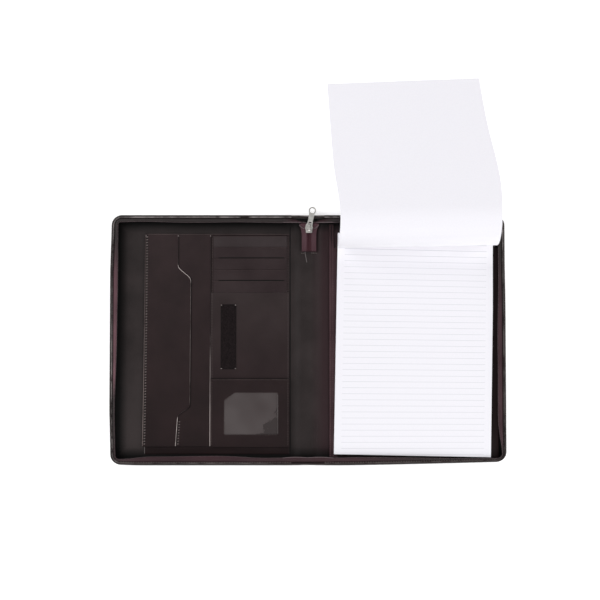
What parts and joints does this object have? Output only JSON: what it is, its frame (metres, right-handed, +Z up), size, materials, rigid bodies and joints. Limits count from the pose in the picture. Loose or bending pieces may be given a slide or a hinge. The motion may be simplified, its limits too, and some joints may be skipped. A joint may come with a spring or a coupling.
{
  "type": "zippered padfolio",
  "caption": "Zippered document case lying open, with pocket organizer, zip walls, and a ruled pad whose turned sheets curl over the head.",
  "frame": {"origin": "on the table under the middle of the spine", "axes": "+X towards the pad, +Y towards the head of the pad, +Z up"},
  "size_m": [0.5346, 0.5242, 0.073],
  "materials": {
    "outer_leather": "dark brown grained leather",
    "binding_leather": "turned, stitched edge",
    "lining_cloth": "smooth dark lining",
    "pocket_leather": "smooth dark pocket leather",
    "cover_board": "grey board",
    "zip_tape": "woven burgundy tape",
    "zip_teeth": "coil teeth",
    "zip_metal": "bright nickel",
    "patch": "looped pile",
    "clear_film": "clear soft film",
    "paper": "white ruled paper",
    "pad_board": "grey backing board",
    "pad_tape": "gummed head tape"
  },
  "bodies": {
    "right_cover": {"right_outer_cover": "outer_leather", "right_cover_board": "cover_board", "right_lining": "lining_cloth", "right_edge_binding": "binding_leather", "right_zip_tape": "zip_tape", "right_zip_coil": "zip_teeth", "pad_panel": "pocket_leather", "pad_pocket": "pocket_leather", "pad_pocket_band": "zip_tape"},
    "spine": {"spine_outer": "outer_leather", "spine_lining": "lining_cloth", "spine_top_binding": "binding_leather", "spine_bottom_binding": "binding_leather", "zip_tail_tape_left": "zip_tape", "zip_tail_tape_right": "zip_tape", "zip_tail_teeth_left": "zip_teeth", "zip_tail_teeth_right": "zip_teeth", "zip_tail_end": "zip_tape", "tape_end_top_left": "zip_tape", "tape_end_top_right": "zip_tape", "tape_end_bottom_left": "zip_tape", "tape_end_bottom_right": "zip_tape"},
    "left_cover": {"left_outer_cover": "outer_leather", "left_cover_board": "cover_board", "left_lining": "lining_cloth", "left_edge_binding": "binding_leather", "left_zip_tape": "zip_tape", "left_zip_coil": "zip_teeth", "organizer_back": "pocket_leather", "middle_pocket": "pocket_leather", "document_pocket": "pocket_leather", "card_pocket_1": "pocket_leather", "card_pocket_2": "pocket_leather", "card_pocket_3": "pocket_leather", "card_pocket_4": "pocket_leather", "card_pocket_5": "pocket_leather", "card_panel": "pocket_leather", "hook_and_loop_patch": "patch", "id_pocket": "pocket_leather", "id_window": "clear_film"},
    "zip_slider": {"slider_body": "zip_metal"},
    "zip_pull": {"pull_tab": "zip_metal"},
    "writing_pad": {"pad_backing_board": "pad_board", "pad_sheets": "paper", "pad_binding": "pad_tape", "turned_sheets_root": "paper"},
    "sheet_curl_1": {"turned_sheets_1": "paper"},
    "sheet_curl_2": {"turned_sheets_2": "paper"},
    "sheet_curl_3": {"turned_sheets_3": "paper"},
    "sheet_flap": {"turned_sheets_flap": "paper"}
  },
  "joints": [
    {"name": "spine_fold", "type": "hinge", "parent": "right_cover", "child": "spine", "pos_m": [0.0155, 0, 0.002], "axis": [0, 1, 0], "range_deg": [0, 90], "deforming": ["tape_end_top_left", "tape_end_top_right", "tape_end_bottom_left", "tape_end_bottom_right"]},
    {"name": "left_cover_fold", "type": "hinge", "parent": "spine", "child": "left_cover", "pos_m": [-0.0155, 0, 0.002], "axis": [0, 1, 0], "range_deg": [0, 90]},
    {"name": "slider_run", "type": "slide", "parent": "spine", "child": "zip_slider", "axis": [0, -1, 0], "range_m": [0, 0.016], "deforming": ["zip_tail_tape_left", "zip_tail_tape_right", "zip_tail_teeth_left", "zip_tail_teeth_right"]},
    {"name": "pull_swing", "type": "hinge", "parent": "zip_slider", "child": "zip_pull", "pos_m": [0.0015, 0.1509, 0.0095], "axis": [0.9816, -0.1908, 0], "range_deg": [0, 165]},
    {"name": "pad_slide", "type": "slide", "parent": "right_cover", "child": "writing_pad", "axis": [0.0192, 0.9998, 0], "range_m": [0, 0.008]},
    {"name": "page_turn_1", "type": "hinge", "parent": "writing_pad", "child": "sheet_curl_1", "pos_m": [0.14544, 0.13587, 0.01285], "axis": [0.9999, 0.0157, 0], "range_deg": [0, 49.9]},
    {"name": "page_turn_2", "type": "hinge", "parent": "sheet_curl_1", "child": "sheet_curl_2", "pos_m": [0.14489, 0.1217, 0.02967], "axis": [0.9999, 0.0157, 0], "range_deg": [0, 49.9]},
    {"name": "page_turn_3", "type": "hinge", "parent": "sheet_curl_2", "child": "sheet_curl_3", "pos_m": [0.1438, 0.12662, 0.05823], "axis": [0.9999, 0.0157, 0], "range_deg": [0, 49.9]},
    {"name": "page_turn_4", "type": "hinge", "parent": "sheet_curl_3", "child": "sheet_flap", "pos_m": [0.1424, 0.15162, 0.07285], "axis": [0.9999, 0.0157, 0], "range_deg": [0, 49.9]}
  ]
}
